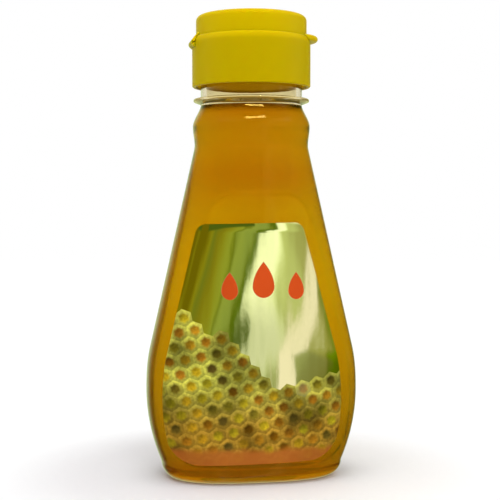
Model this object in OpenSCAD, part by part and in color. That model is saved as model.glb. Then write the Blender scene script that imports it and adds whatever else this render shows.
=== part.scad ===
// Honey squeeze bottle: a clear moulded flask with its fill, label and seals,
// and a screw cap with a flip lid. Millimetres, +Z up, origin at the centre of
// the base, label towards -Y, lid hinge towards -X and thumb tab towards +X.

/* [Body] */
// Width of the body at its belly
body_w = 73.5; // [70:0.5:78]
// Depth of the body at its belly
body_d = 44.6; // [42:0.2:48]
// Height of the widest point
belly_z = 30.5; // [27:0.5:36]
// Width just above the heel
foot_w = 63.2; // [60:0.2:66]
// Depth just above the heel
foot_d = 38.8; // [36:0.2:41]
// Radius of the heel
heel_r = 5.5; // [4:0.1:6.5]
// Width of the flat ring that the bottle stands on
foot_ring_w = 2.4; // [1.5:0.1:4]
// Height of the pushed-up middle of the base
push_up = 2.4; // [1:0.1:3.5]
// Height where the straight taper begins
taper_z = 45; // [42:0.5:50]
// How far each side has drawn in where the taper begins
taper_in = 1.3; // [0.8:0.1:2]
// Height where the straight taper ends
shoulder_z = 113; // [108:0.5:118]
// Diameter at the top of the taper
shoulder_dia = 40.2; // [39.8:0.1:42]
// Thickness of the body's wall
wall = 0.8; // [0.6:0.05:1.2]

/* [Shoulder ring] */
// Diameter in the groove under the shoulder ring
groove_dia = 39.5; // [38:0.1:39.7]
// Height of the groove above the taper
groove_rise = 2.2; // [1.5:0.1:3.5]
// Diameter of the rounded shoulder ring
ring_dia = 40.7; // [40:0.1:42]
// Height of the ring's widest point above the groove
ring_rise = 6.4; // [5:0.1:8]
// Height from there to the foot of the neck
ring_top_rise = 7.2; // [6:0.1:9]

/* [Neck] */
// Outer diameter of the neck
neck_dia = 35.2; // [34.6:0.1:35.6]
// Wall of the neck
neck_wall = 1.9; // [1.6:0.1:2.2]
// Length of plain neck under the support ring
neck_plain = 1.3; // [1:0.1:3]
// Diameter of the support ring
flange_dia = 40.2; // [39:0.1:42]
// Thickness of the support ring at its rim
flange_t = 1.1; // [0.8:0.1:1.6]
// Height of the finish from the support ring to the lip
finish_h = 17.5; // [16.5:0.1:20]

/* [Thread] */
// Rise of the screw thread in one turn
thread_pitch = 4.2; // [4:0.1:4.4]
// Height of the thread ridge
thread_h = 1.05; // [0.9:0.05:1.1]
// Width of the ridge at its root
thread_root_w = 2; // [1.7:0.1:2.1]
// Width of the ridge at its crest
thread_crest_w = 0.9; // [0.7:0.1:1.1]
// Play between the flanks when the cap is tight
thread_play = 0.12; // [0.08:0.02:0.2]
// Distance from the lip to the thread's upper end
thread_drop = 2.2; // [2:0.1:3]
// Turns of the thread
thread_turns = 1.4; // [1.2:0.1:1.5]

/* [Label] */
// Height of the label's lower edge
label_z = 7.6; // [7:0.1:10]
// Height of the label's upper edge
label_top_z = 88.5; // [82:0.5:91]
// Distance from the body's side to the label's side, at its foot
label_side_low = 5.7; // [5.4:0.1:7]
// The same distance at the label's top
label_side_top = 8.1; // [7.5:0.1:10]
// Radius of the label's upper corners
label_r_top = 2.8; // [2:0.1:6]
// Radius of the label's lower corners
label_r_low = 7.8; // [6:0.1:10]
// Thickness of the label
label_t = 0.14; // [0.1:0.01:0.2]
// Thickness of its adhesive
glue_t = 0.1; // [0.06:0.01:0.12]

/* [Label panel] */
// Depth of the panel that takes the label
panel_deep = 0.45; // [0.3:0.05:0.6]
// Width of the panel's sloping edge
panel_edge = 2; // [1.4:0.1:2.4]
// Border between the label's sides and the panel's sides
panel_border = 2.8; // [2.4:0.1:3]
// Border above the label
panel_border_top = 11; // [6:0.5:12]
// Radius of the panel's upper corners
panel_r_top = 11; // [6:0.1:12]
// Radius of the panel's lower corners
panel_r_low = 10; // [8:0.1:11]

/* [Fill and seals] */
// Distance from the support ring down to the honey
headspace = 1.8; // [0.6:0.1:2]
// Gap between the honey and the wall
fill_gap = 0.05; // [0.03:0.01:0.08]
// Thickness of the foil on the lip
foil_t = 0.2; // [0.15:0.05:0.3]
// Thickness of the foam washer
washer_t = 1; // [0.8:0.1:1.4]
// Width of the foam washer's ring
washer_w = 3.4; // [3:0.1:4]

/* [Cap] */
// Outer diameter of the cap
cap_dia = 41.1; // [40.9:0.1:42]
// Wall of the cap's skirt
cap_wall = 1.5; // [1.3:0.05:1.6]
// Height of the cap without its lid
cap_h = 17.2; // [16.6:0.1:18.6]
// Thickness of the cap's deck
deck_t = 1.2; // [1:0.1:1.5]
// Height of the ledge above the deck
ledge_rise = 1.4; // [1:0.1:2]
// Width of the rounded shoulder of the cap
cap_round_w = 1.2; // [1.1:0.1:1.4]
// Height of the rounded shoulder of the cap
cap_round_h = 3.4; // [2.5:0.1:4]
// Width of the ledge that is left outside the lid
ledge_w = 0.15; // [0.1:0.05:0.3]
// Break of the skirt's lower edge
cap_break = 0.35; // [0.2:0.05:0.5]

/* [Spout] */
// Diameter of the spout at its foot
spout_foot_dia = 13; // [11:0.1:15]
// Diameter of the spout at its tip
spout_tip_dia = 8.4; // [8:0.1:10]
// Height of the spout above the deck
spout_h = 5.4; // [4.5:0.1:5.8]
// Diameter of the orifice
orifice_dia = 5.6; // [5:0.1:6]
// Length of the orifice's straight land
orifice_h = 1.6; // [1.2:0.1:2]
// Wall of the spout at its foot
spout_wall = 1.2; // [1:0.1:1.5]
// Radius of the spout's rim
spout_round = 0.7; // [0.4:0.1:0.8]

/* [Snap ring] */
// Height of the ring that the lid snaps on
snap_h = 2.2; // [1.6:0.1:2.6]
// Thickness of that ring
snap_t = 1.1; // [0.9:0.1:1.4]
// Height of the bead on it
snap_bead = 0.12; // [0.08:0.02:0.16]
// Gap between the ring and the lid
snap_gap = 0.35; // [0.3:0.05:0.5]

/* [Lid] */
// Outer diameter of the lid
lid_dia = 38.4; // [38.2:0.1:38.6]
// Height of the lid
lid_h = 7.4; // [7.2:0.1:9]
// Wall of the lid
lid_wall = 1.2; // [1:0.1:1.4]
// Radius of the lid's upper edge
lid_round = 1.8; // [1.2:0.1:2.2]
// Diameter of the plug pin at its root
pin_dia = 5.1; // [4.6:0.1:5.2]
// Taper of the pin over its length in the orifice, on each side
pin_taper = 0.6; // [0.5:0.1:0.8]
// Depth of the pin in the orifice
pin_deep = 2; // [1.5:0.1:2.5]
// Radius of the thumb tab
tab_r = 10.75; // [9:0.1:12]
// Reach of the thumb tab beyond the cap
tab_out = 2.8; // [2:0.1:4]
// Thickness of the thumb tab
tab_t = 2; // [1.8:0.1:2.4]
// How far the tab hangs below the lid's lower edge
tab_drop = 1.3; // [1:0.1:1.6]

/* [Hinge] */
// Distance of the hinge axis outside the cap
hinge_out = 0.9; // [0.7:0.05:1.2]
// Distance of the hinge axis below the lid's lower edge
hinge_drop = 2.2; // [2:0.1:2.6]
// Thickness of the hinge films
film_t = 0.35; // [0.25:0.05:0.45]
// Free height of the hinge films
film_h = 0.5; // [0.4:0.05:0.6]
// Width of each hinge film
film_w = 2.4; // [2:0.1:2.6]
// Distance between the two films
film_apart = 4.2; // [4:0.1:5]
// Width of the snap strap between them
strap_w = 3; // [2.6:0.1:3.4]
// Thickness of the snap strap
strap_t = 0.4; // [0.3:0.05:0.5]
// Height of the cap's hinge lug
lug_h = 1.4; // [1.2:0.1:2]
// Height of the lid's hinge lug on the lid's side
lug_over = 1; // [0.8:0.1:1.4]
// Gap between the lid's parts and the cap's shoulder
lid_gap = 0.25; // [0.2:0.05:0.3]

/* [Hidden] */

round_fn = 96;
thread_steps = 36;
// Overrun of every cut and sunk root
over = 0.4;

// Squareness of the body's oval, from the foot to the round shoulder
square_share = 2.6;
round_share = 2;
// Slopes of the wall in width and depth at the foot, and of the depth below the taper
foot_slope_share = 0.42;
foot_deep_slope_share = 0.25;
neck_slope_share = 0.25;
// Share of the body's depth that is left where the taper begins
taper_deep_share = 0.99;

groove_z = shoulder_z + groove_rise;
ring_z = groove_z + ring_rise;
neck_z = ring_z + ring_top_rise;
flange_z = neck_z + neck_plain;
flange_top_z = flange_z + flange_t;
lip_z = flange_top_z + finish_h;
neck_r = neck_dia / 2;
bore_r = neck_r - neck_wall;
fill_z = flange_z - headspace;

foil_z = lip_z;
washer_z = foil_z + foil_t;
deck_z = washer_z + washer_t;
deck_top_z = deck_z + deck_t;
ledge_z = deck_top_z + ledge_rise;
cap_z = ledge_z - cap_h;
cap_r = cap_dia / 2;
cap_bore_r = cap_r - cap_wall;
lid_r = lid_dia / 2;
lid_bore_r = lid_r - lid_wall;
lid_top_z = ledge_z + lid_h;
snap_r = lid_bore_r - snap_gap;
ledge_r = max(cap_r - cap_round_w, lid_r + ledge_w);
rim_r = max(cap_r, ledge_r);
spout_z = deck_top_z + spout_h;
hinge_x = -rim_r - hinge_out;
hinge_z = ledge_z - hinge_drop;
film_y = film_apart / 2 + film_w / 2;

// The wall's stations from the heel to the neck. Each one holds its height, the
// half width and its slope, the half depth and its slope, and the squareness.
taper_half_w = body_w / 2 - taper_in;
taper_half_d = body_d / 2 * taper_deep_share;
taper_slope = (shoulder_dia / 2 - taper_half_w) / (shoulder_z - taper_z);
taper_deep_slope = (shoulder_dia / 2 - taper_half_d) / (shoulder_z - taper_z);
// The loft ends just inside the neck's wall, where the two are fused
loft_sink = neck_wall / 12;
loft_r = neck_r - loft_sink;
STATIONS = [
    [heel_r, foot_w / 2, foot_slope_share, foot_d / 2, foot_deep_slope_share, square_share],
    [belly_z, body_w / 2, 0, body_d / 2, 0, square_share],
    [taper_z, taper_half_w, taper_slope, taper_half_d, taper_deep_slope, square_share],
    [shoulder_z, shoulder_dia / 2, taper_slope, shoulder_dia / 2, taper_deep_slope, round_share],
    [groove_z, groove_dia / 2, 0, groove_dia / 2, 0, round_share],
    [ring_z, ring_dia / 2, 0, ring_dia / 2, 0, round_share],
    [neck_z, loft_r, -neck_slope_share, loft_r, -neck_slope_share, round_share]
];

function mix(a, b, t) = a + (b - a) * t;
function clamp01(t) = min(1, max(0, t));

// Cubic from p to q over the span h, with slopes m and k at its ends
function cubic(p, m, q, k, h, t) =
    p * (2 * t ^ 3 - 3 * t ^ 2 + 1) + m * h * (t ^ 3 - 2 * t ^ 2 + t)
    + q * (3 * t ^ 2 - 2 * t ^ 3) + k * h * (t ^ 3 - t ^ 2);

function span_of(z, i = 0) =
    i == len(STATIONS) - 2 || z < STATIONS[i + 1][0] ? i : span_of(z, i + 1);

// Half width, half depth and squareness of the outer wall at height z
function oval_at(z) =
    let (i = span_of(z), a = STATIONS[i], b = STATIONS[i + 1], h = b[0] - a[0], t = (z - a[0]) / h)
    [cubic(a[1], a[2], b[1], b[2], h, t), cubic(a[3], a[4], b[3], b[4], h, t), mix(a[5], b[5], t)];

// The wall grows from the body's thickness to the neck's along the shoulder ring
function wall_at(z) =
    mix(wall, loft_r - bore_r - loft_sink, clamp01((z - groove_z) / (neck_z - groove_z)));

// Half width of the label at height z before its corners are rounded
function label_side(z) =
    oval_at(z)[0] - mix(label_side_low, label_side_top, (z - label_z) / (label_top_z - label_z));

// What a corner of radius r takes off a side at the distance d from the end
function corner(d, r) = d >= r ? 0 : r - sqrt(max(0, r ^ 2 - (r - max(0, d)) ^ 2));

function label_half(z) =
    label_side(z) - corner(label_top_z - z, label_r_top) - corner(z - label_z, label_r_low);

// The panel follows the label's outline at its border
panel_z = heel_r + panel_edge / 4;
panel_top_z = label_top_z + panel_border_top;
function panel_half(z) =
    label_side(z) + panel_border - corner(panel_top_z - z, panel_r_top) - corner(z - panel_z, panel_r_low);

// Where no panel is, the rows keep its edge's points at this share of the half width
even_share = 0.6;
function edge_share(z) =
    let (y = min(panel_top_z, max(panel_z, z)), s = panel_half(y) / oval_at(y)[0])
    z <= panel_top_z ? s : mix(s, even_share, clamp01((z - panel_top_z) / (shoulder_z - panel_top_z)));

function panel_rows(z) =
    clamp01((z - panel_z) / panel_edge) * clamp01((panel_top_z - z) / panel_edge);

// Angle on an oval of squareness n at the share s of its half width
function angle_at(s, n) = asin(min(1, s ^ (n / 2)));

side_steps = 7;
face_steps = 8;
heel_steps = 4;
panel_steps = 14;
taper_steps = 3;
ring_steps = 5;
arc_steps = 4;
label_steps = 8;
label_columns = 16;

// Angles of one face of a row, from its left side up to its right side
function face_angles(outer, inner, n) =
    let (a = angle_at(outer, n), b = angle_at(inner, n))
    concat(
        [for (i = [0 : side_steps - 1]) mix(-90, -a, i / side_steps)],
        [-a],
        [for (i = [0 : face_steps]) let (s = inner * (2 * i / face_steps - 1)) sign(s) * angle_at(abs(s), n)],
        [for (i = [0 : side_steps - 1]) mix(a, 90, i / side_steps)]
    );

// One point of an oval. The face is sunk by deep where it lies within the panel
tiny_share = 1e-9;
function oval_point(a, b, n, angle, side, z, outer, inner, deep) =
    let (
        s = abs(sin(angle)) ^ (2 / n),
        c = abs(cos(angle)) < tiny_share ? 0 : cos(angle) ^ (2 / n),
        sunk = deep * clamp01((outer - s) / (outer - inner))
    )
    [sign(angle) * a * s, side * (sunk - b * c), z];

// A closed row of the wall: its front face, then its back face
function oval_row(a, b, n, z, outer, inner, deep) =
    let (angles = face_angles(outer, inner, n), last = len(angles) - 1)
    concat(
        [for (i = [0 : last]) oval_point(a, b, n, angles[i], 1, z, outer, inner, deep)],
        [oval_point(a, b, n, 90, 1, z, outer, inner, 0)],
        [for (i = [last : -1 : 1]) oval_point(a, b, n, angles[i], -1, z, outer, inner, deep)]
    );

function wall_row(z, inset) =
    let (o = oval_at(z), outer = edge_share(z), inner = outer - panel_edge / o[0])
    oval_row(o[0] - inset, o[1] - inset, o[2], z, outer, inner, panel_deep * panel_rows(z));

// A row of the heel or the base, drawn in from the foot's outline
function foot_row(z, inset) =
    let (outer = edge_share(panel_z), inner = outer - panel_edge / (foot_w / 2))
    oval_row(foot_w / 2 - inset, foot_d / 2 - inset, square_share, z, outer, inner, 0);

function heel_rows(inset) =
    [for (i = [0 : heel_steps - 1]) let (a = 90 - 90 * i / heel_steps, r = heel_r - inset)
        foot_row(heel_r - r * sin(a), inset + r * (1 - cos(a)))];

// The pushed-up middle of the base and the flat ring round it
push_share = 0.5;
function base_rows(lift) =
    [foot_row(push_up + lift, foot_d / 2 * push_share), foot_row(lift, heel_r + foot_ring_w - lift / 2)];

function evenly(a, b, n) = [for (i = [0 : n - 1]) mix(a, b, i / n)];

// Heights of the rows between the heel and the neck, closest at the panel's ends
ROWS = concat(
    [heel_r, panel_z],
    [for (i = [0 : panel_steps])
        mix(panel_z + panel_edge, panel_top_z - panel_edge, (1 - cos(180 * i / panel_steps)) / 2)],
    evenly(panel_top_z, shoulder_z, taper_steps),
    evenly(shoulder_z, groove_z, 2),
    evenly(groove_z, ring_z, ring_steps),
    evenly(ring_z, neck_z, ring_steps),
    [neck_z]
);

// A closed skin over rows of equal length, with a flat cap at each end. Each
// field between two rows is split along its shorter diagonal.
tie_share = 1.0001;
module skin(rows) {
    n = len(rows[0]);
    m = len(rows);
    points = [for (row = rows) each row];
    sides = [for (i = [0 : m - 2], j = [0 : n - 1]) let (
        a = i * n + j,
        b = i * n + (j + 1) % n,
        c = b + n,
        d = a + n,
        rising = norm(points[a] - points[c]) <= norm(points[b] - points[d]) * tie_share)
        each rising ? [[a, c, b], [a, d, c]] : [[a, d, b], [b, d, c]]];
    first = [for (j = [0 : n - 1]) j];
    last = [for (j = [n - 1 : -1 : 0]) (m - 1) * n + j];
    polyhedron(points, concat([first], sides, [last]), convexity = 6);
}

// A screw ridge round +Z. Its root lies at root_r and its crest at crest_r, and
// both ends run out, over this share of a turn, into the wall that carries it.
runout_share = 0.125;
module thread(root_r, crest_r, z) {
    sink = sign(root_r - crest_r) * over;
    count = round(thread_turns * thread_steps);
    rows = [for (i = [0 : count]) let (
        turn = i / thread_steps,
        a = 360 * turn,
        up = z + thread_pitch * turn,
        full = clamp01(min(i, count - i) / thread_steps / runout_share),
        back = root_r + sink,
        tip = mix(back - sink / 2, crest_r, full))
        [for (p = [[back, -thread_root_w], [tip, -thread_crest_w], [tip, thread_crest_w], [back, thread_root_w]])
            [p[0] * cos(a), p[0] * sin(a), up + p[1] / 2]]];
    skin(sink > 0 ? rows : [for (row = rows) [for (j = [3 : -1 : 0]) row[j]]]);
}

// Points of a quarter ellipse about c, from the angle a to the angle b
function bend(c, rx, ry, a, b, steps = 6) =
    [for (i = [0 : steps]) let (t = mix(a, b, i / steps)) c + [rx * cos(t), ry * sin(t)]];

// Height between the two ridges' middles at which their flanks would touch
thread_meet = thread_root_w - (thread_root_w - thread_crest_w) / 2 * (cap_bore_r - neck_r) / thread_h;
thread_z = lip_z - thread_drop - thread_root_w / 2 - thread_pitch * thread_turns;
cap_thread_z = thread_z - thread_meet - thread_play;

module bottle() {
    color([0.86, 0.9, 0.9, 0.45]) union() {
        skin(concat(
            base_rows(0),
            heel_rows(0),
            [for (z = ROWS) wall_row(z, 0)],
            [for (i = [len(ROWS) - 1 : -1 : 0]) wall_row(ROWS[i], wall_at(ROWS[i]))],
            [for (i = [heel_steps - 1 : -1 : 0]) heel_rows(wall)[i]],
            [for (i = [1, 0]) base_rows(wall)[i]]
        ));
        neck_finish();
        thread(neck_r, neck_r + thread_h, thread_z);
    }
}

// The neck is turned true to size, with its support ring and a rounded lip
flange_root_share = 1.7;
neck_foot_share = 0.7;
module neck_finish() {
    lip_round = neck_wall / 4;
    flange_r = flange_dia / 2;
    root_t = flange_t * flange_root_share;
    foot_z = neck_z - neck_wall;
    rotate_extrude($fn = round_fn)
        polygon(concat(
            [[bore_r + neck_wall / 2, foot_z], [bore_r + neck_wall * neck_foot_share, foot_z], [neck_r, neck_z]],
            [[neck_r, flange_top_z - root_t]],
            [[flange_r - flange_t / 2, flange_z]],
            bend([flange_r - flange_t / 2, flange_z + flange_t / 2], flange_t / 2, flange_t / 2, -60, 90, 4),
            [[neck_r, flange_top_z]],
            bend([neck_r - lip_round, lip_z - lip_round], lip_round, lip_round, 0, 90, 4),
            bend([bore_r + lip_round, lip_z - lip_round], lip_round, lip_round, 90, 180, 4),
            [[bore_r, neck_z - neck_wall / 2]]
        ));
}

module honey() {
    inset = wall + fill_gap;
    top = [for (z = ROWS) if (z < neck_z - neck_wall) z];
    neck_fill_r = bore_r - fill_gap;
    color([0.82, 0.5, 0.05]) skin(concat(
        base_rows(inset),
        heel_rows(inset),
        [for (z = top) wall_row(z, wall_at(z) + fill_gap)],
        [for (z = [neck_z - neck_wall, fill_z]) fill_row(z, neck_fill_r)]
    ));
}

function fill_row(z, r) =
    let (outer = edge_share(z), inner = outer - panel_edge / r)
    oval_row(r, r, round_share, z, outer, inner, 0);

module front_label() {
    low = [for (i = [0 : arc_steps - 1]) label_z + label_r_low * (1 - cos(90 * i / arc_steps))];
    middle = evenly(label_z + label_r_low, label_top_z - label_r_top, label_steps);
    top = [for (i = [0 : arc_steps]) label_top_z - label_r_top * (1 - sin(90 * i / arc_steps))];
    color([0.75, 0.72, 0.42]) skin([for (z = concat(low, middle, top))
        let (h = label_half(z), xs = [for (j = [0 : label_columns]) mix(-h, h, j / label_columns)])
        concat(
            [for (x = xs) [x, front_y(x, z) - glue_t - label_t, z]],
            [for (j = [label_columns : -1 : 0]) [xs[j], front_y(xs[j], z) - glue_t, z]]
        )]);
}

// The panel's surface at the point x, z of the front
function front_y(x, z) =
    let (o = oval_at(z)) panel_deep - o[1] * (1 - (abs(x) / o[0]) ^ o[2]) ^ (1 / o[2]);

module foil_seal() {
    color("silver") translate([0, 0, foil_z])
        cylinder(r = neck_r - neck_wall / 8, h = foil_t, $fn = round_fn);
}

module seal_washer() {
    outer = cap_bore_r - snap_gap;
    color("white") translate([0, 0, washer_z]) difference() {
        cylinder(r = outer, h = washer_t, $fn = round_fn);
        translate([0, 0, -over])
            cylinder(r = outer - washer_w, h = washer_t + 2 * over, $fn = round_fn);
    }
}

// Outline of the cap's rounded shoulder, moved out by gap
function cap_shoulder(gap) =
    bend([ledge_r + gap, ledge_z - cap_round_h], cap_r - ledge_r, cap_round_h + gap, 0, 90, 8);

module closure_base() {
    color([0.77, 0.68, 0]) union() {
        rotate_extrude($fn = round_fn) cap_profile();
        thread(cap_bore_r, cap_bore_r - thread_h, cap_thread_z);
        difference() {
            hinge_lug(hinge_z - film_h / 2, cap_lug());
            translate([0, 0, cap_z]) cylinder(r = cap_r - cap_wall / 2, h = cap_h, $fn = round_fn);
        }
    }
}

// Half section of the cap with its skirt, deck, snap ring and spout
bead_share = 0.6;
module cap_profile() {
    bead_z = ledge_z + snap_h * bead_share;
    tip_r = spout_tip_dia / 2;
    orifice_r = orifice_dia / 2;
    polygon(concat(
        [[cap_bore_r + cap_break, cap_z], [cap_r - cap_break, cap_z], [cap_r, cap_z + cap_break]],
        cap_shoulder(0),
        [[snap_r, ledge_z], [snap_r, bead_z - 2 * snap_bead], [snap_r + snap_bead, bead_z],
         [snap_r, bead_z + 2 * snap_bead], [snap_r, ledge_z + snap_h], [snap_r - snap_t, ledge_z + snap_h],
         [snap_r - snap_t, deck_top_z], [spout_foot_dia / 2, deck_top_z]],
        bend([tip_r - spout_round, spout_z - spout_round], spout_round, spout_round, 0, 90, 4),
        [[orifice_r, spout_z], [orifice_r, spout_z - orifice_h], [spout_foot_dia / 2 - spout_wall, deck_z],
         [cap_bore_r, deck_z], [cap_bore_r, cap_z + cap_break * 2]]
    ));
}

// A lug that carries the films, with its profile's points given inwards from the
// hinge axis and up from the height z. It ends inside the round wall behind it.
module hinge_lug(z, profile) {
    wide = film_apart + 2 * film_w;
    translate([hinge_x, wide / 2, z]) rotate([90, 0, 0]) linear_extrude(wide) polygon(profile);
}

function cap_lug() =
    let (deep = -hinge_x - cap_r + cap_wall + film_y)
    [[hinge_out, -lug_h], [0, 0], [deep, 0], [deep, -lug_h]];

function lid_lug() =
    let (
        side = ledge_w - hinge_x - ledge_r,
        deep = -hinge_x - lid_r + lid_wall + film_y,
        top = hinge_drop - film_h / 2 + lug_over)
    [[0, 0], [hinge_out, top / 2], [side, top], [deep, top], [deep, 0]];

// The tab and the lug are cut clear of the lid's inside and of the cap's shoulder
module lid() {
    color([0.83, 0.72, 0]) union() {
        rotate_extrude($fn = round_fn) lid_profile();
        difference() {
            union() {
                thumb_tab();
                hinge_lug(hinge_z + film_h / 2, lid_lug());
            }
            translate([0, 0, ledge_z - lid_h])
                cylinder(r = lid_r - lid_wall / 2, h = 2 * lid_h, $fn = round_fn);
            rotate_extrude($fn = round_fn) polygon(concat(
                [[0, cap_z], [cap_r + lid_gap, cap_z]], cap_shoulder(lid_gap), [[0, ledge_z + lid_gap]]));
        }
    }
}

// Half section of the lid with its plug pin
module lid_profile() {
    pin_r = pin_dia / 2;
    tip_r = pin_r - pin_taper;
    roof_z = lid_top_z - lid_wall;
    inner_round = max(lid_round - lid_wall, lid_wall / 4);
    polygon(concat(
        [[lid_bore_r, ledge_z], [lid_r, ledge_z]],
        bend([lid_r - lid_round, lid_top_z - lid_round], lid_round, lid_round, 0, 90),
        [[0, lid_top_z], [0, spout_z - pin_deep], [tip_r, spout_z - pin_deep], [pin_r, spout_z], [pin_r, roof_z]],
        bend([lid_bore_r - inner_round, roof_z - inner_round], inner_round, inner_round, 90, 0, 3)
    ));
}

// A thin disc with a rounded rim, which crosses the lid's wall at the right
module thumb_tab() {
    rim = tab_t / 2;
    translate([rim_r + tab_out - tab_r, 0, ledge_z - tab_drop]) rotate_extrude($fn = round_fn)
        polygon(concat([[0, 0]], bend([tab_r - rim, rim], rim, rim, -90, 90), [[0, tab_t]]));
}

module hinge_films() {
    color([0.8, 0.7, 0]) for (side = [-1, 1])
        translate([hinge_x, side * film_y - film_w / 2, hinge_z - film_h / 2])
            cube([film_t, film_w, film_h]);
}

module snap_strap() {
    color([0.8, 0.7, 0]) translate([hinge_x, -strap_w / 2, hinge_z - film_h / 2])
        cube([strap_t, strap_w, film_h]);
}

bottle();
honey();
front_label();
foil_seal();
seal_washer();
closure_base();
lid();
hinge_films();
snap_strap();
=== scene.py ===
# Honey squeeze bottle: its looks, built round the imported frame. Shapes are written in millimetres
# in the frame's own axes and turned into metres where a mesh is made.
import math
import bmesh
import bpy
import numpy as np
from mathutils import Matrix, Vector


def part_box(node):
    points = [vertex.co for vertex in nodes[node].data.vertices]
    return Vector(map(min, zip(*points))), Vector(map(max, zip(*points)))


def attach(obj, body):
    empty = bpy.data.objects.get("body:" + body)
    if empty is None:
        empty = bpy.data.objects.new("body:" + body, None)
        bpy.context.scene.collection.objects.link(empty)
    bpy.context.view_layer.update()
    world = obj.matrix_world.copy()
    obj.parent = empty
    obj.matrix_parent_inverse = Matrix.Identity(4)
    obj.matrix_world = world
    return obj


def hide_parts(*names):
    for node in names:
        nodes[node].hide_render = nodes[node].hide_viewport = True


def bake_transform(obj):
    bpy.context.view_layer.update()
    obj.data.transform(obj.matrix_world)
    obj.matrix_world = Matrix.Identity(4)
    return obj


mm = 0.001
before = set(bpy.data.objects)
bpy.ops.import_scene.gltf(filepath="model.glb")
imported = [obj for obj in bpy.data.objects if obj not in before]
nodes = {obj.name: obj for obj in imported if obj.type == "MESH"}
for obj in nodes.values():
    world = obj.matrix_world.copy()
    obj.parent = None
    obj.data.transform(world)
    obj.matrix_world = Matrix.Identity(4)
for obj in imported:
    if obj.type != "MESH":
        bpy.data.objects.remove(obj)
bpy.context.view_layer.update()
print("frame loaded with", len(nodes), "nodes")


def footOf(node):
    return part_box(node)[0].z / mm


def topOf(node):
    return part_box(node)[1].z / mm


# Curves and outlines

def mix(a, b, t):
    return a + (b - a) * t


def ease(t):
    t = np.clip(t, 0, 1)
    return t * t * (3 - 2 * t)


def cubic(p, slopeP, q, slopeQ, span, t):
    # from p to q over the span, with a slope at each end
    return (p * (2 * t**3 - 3 * t**2 + 1) + slopeP * span * (t**3 - 2 * t**2 + t)
            + q * (3 * t**2 - 2 * t**3) + slopeQ * span * (t**3 - t**2))


def evenly(start, end, step):
    count = max(1, round(abs(end - start) / step))
    return [mix(start, end, i / count) for i in range(count)]


def quarterBend(steps):
    # how far a round corner has come in after each of its steps, as a share of its radius
    return 1 - np.cos(np.radians(np.linspace(0, 90, steps + 1)))


def arc(centre, radii, fromAngle, toAngle, steps):
    turns = np.radians(np.linspace(fromAngle, toAngle, steps + 1))
    return [(centre[0] + radii[0] * math.cos(t), centre[1] + radii[1] * math.sin(t), 0) for t in turns]


def rounded(corners, steps=5):
    # corners are (across, up, radius); each one becomes a short bend between its two sides
    nearHalf = 0.49  # of a side, so that two bends on it don't meet
    outline = []
    for i, (x, z, radius) in enumerate(corners):
        here = np.array([x, z], float)
        if radius == 0:
            outline.append(here)
            continue
        before = np.array(corners[i - 1][:2], float) - here
        after = np.array(corners[(i + 1) % len(corners)][:2], float) - here
        reach = np.linalg.norm(before), np.linalg.norm(after)
        cosine = np.dot(before, after) / (reach[0] * reach[1])
        cut = min(radius / math.tan(math.acos(np.clip(cosine, -1, 1)) / 2), nearHalf * min(reach))
        start = here + before / reach[0] * cut
        end = here + after / reach[1] * cut
        for t in np.linspace(0, 1, steps + 1):
            outline.append(start * (1 - t)**2 + here * 2 * t * (1 - t) + end * t**2)
    return [(float(x), float(z)) for x, z in outline]


def refined(outline, step, low, high):
    # adds rows to an outline's long sides between two heights
    fine = []
    for (x0, z0), (x1, z1) in zip(outline, outline[1:]):
        fine.append((x0, z0))
        if abs(z1 - z0) > step:
            heights = [z for z in evenly(z0, z1, step)[1:] if low < z < high]
            fine += [(mix(x0, x1, (z - z0) / (z1 - z0)), z) for z in heights]
    return fine + [outline[-1]]


# Meshes

# points nearer than weld become one and edges shorter than sliver go, both in metres; angles are degrees
meshing = {"weld": 1e-7, "sliver": 1e-8, "crease": 35, "bevelAngle": 30, "bevelSteps": 4}
tiny = 1e-6  # two radii that differ by less are the same


def gridFaces(rows, columns):
    # quads between closed rows of points
    faces = []
    for r in range(rows - 1):
        low, high = r * columns, (r + 1) * columns
        for c in range(columns):
            after = (c + 1) % columns
            faces.append((low + c, low + after, high + after, high + c))
    return faces


def meshOf(name, points, faces):
    mesh = bpy.data.meshes.new(name)
    mesh.from_pydata([tuple(float(v) * mm for v in p) for p in points], [], faces)
    tidy = bmesh.new()
    tidy.from_mesh(mesh)
    bmesh.ops.remove_doubles(tidy, verts=tidy.verts, dist=meshing["weld"])
    bmesh.ops.dissolve_degenerate(tidy, edges=tidy.edges, dist=meshing["sliver"])
    bmesh.ops.recalc_face_normals(tidy, faces=tidy.faces)
    tidy.to_mesh(mesh)
    tidy.free()
    return mesh


def makePiece(name, shell, finish, body=None):
    mesh = meshOf(name, *shell)
    mesh.shade_smooth()
    mesh.set_sharp_from_angle(angle=math.radians(meshing["crease"]))
    piece = bpy.data.objects.new(name, mesh)
    bpy.context.scene.collection.objects.link(piece)
    mesh.materials.append(finish)
    if body:
        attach(piece, body)
    return piece


def joined(*shells):
    # several closed shells, each (points, faces), as one
    points, faces = [], []
    for shellPoints, shellFaces in shells:
        start = len(points)
        points += [tuple(p) for p in shellPoints]
        faces += [tuple(start + i for i in face) for face in shellFaces]
    return points, faces


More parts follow.
